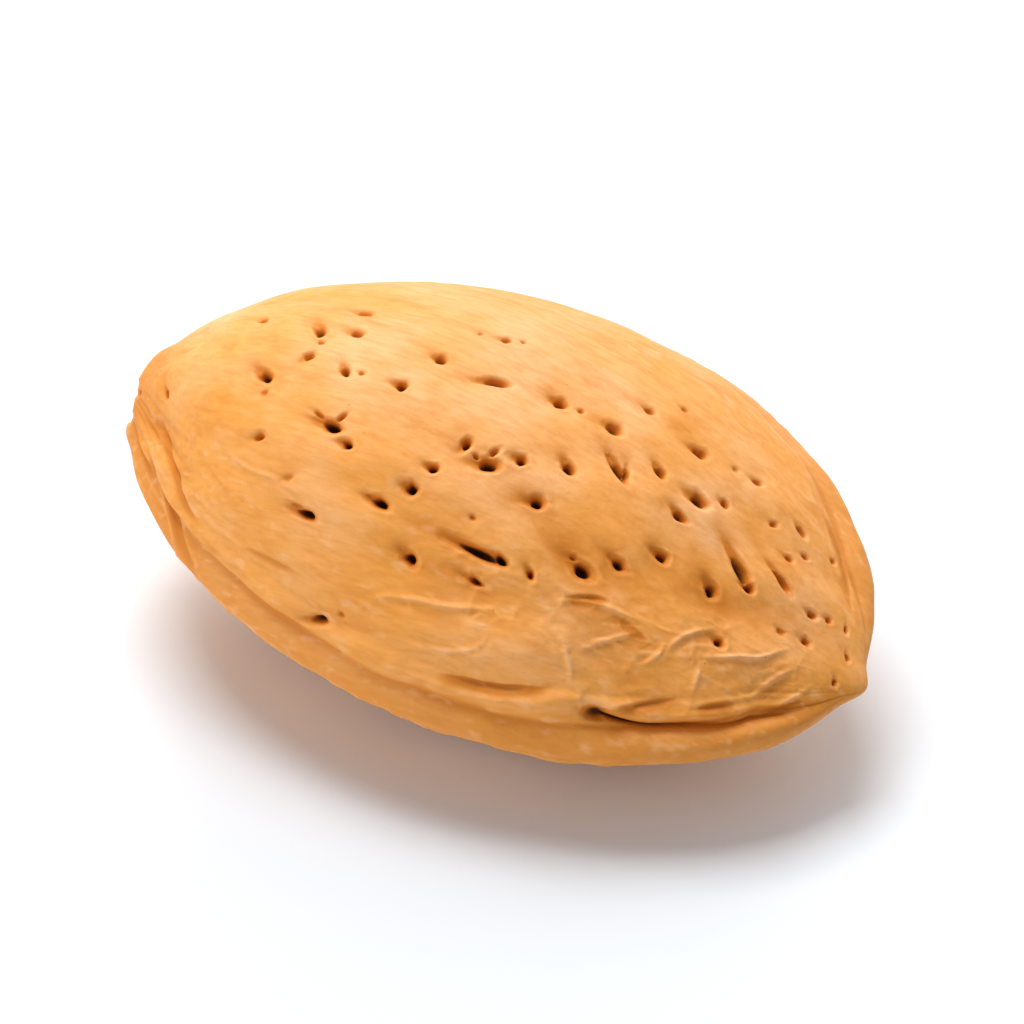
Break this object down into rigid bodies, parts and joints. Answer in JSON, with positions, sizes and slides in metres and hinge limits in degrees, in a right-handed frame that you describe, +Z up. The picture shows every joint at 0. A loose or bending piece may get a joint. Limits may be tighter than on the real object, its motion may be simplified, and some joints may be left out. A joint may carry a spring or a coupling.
{
  "type": "almond in shell",
  "caption": "Whole almond in its pitted shell: a flattened pointed oval with a ridged keel, a stem scar and a small flat spot that it lies on.",
  "frame": {"origin": "on the surface that the almond lies on, under the middle of its box", "axes": "+X along the almond towards its tip, +Y towards its back with the keel at -Y, +Z up through its thickness"},
  "size_m": [0.0384, 0.0248, 0.0164],
  "materials": {
    "shell": "dry, matt, pitted pale brown shell"
  },
  "bodies": {
    "root": {"almond_shell": "shell"}
  },
  "joints": []
}
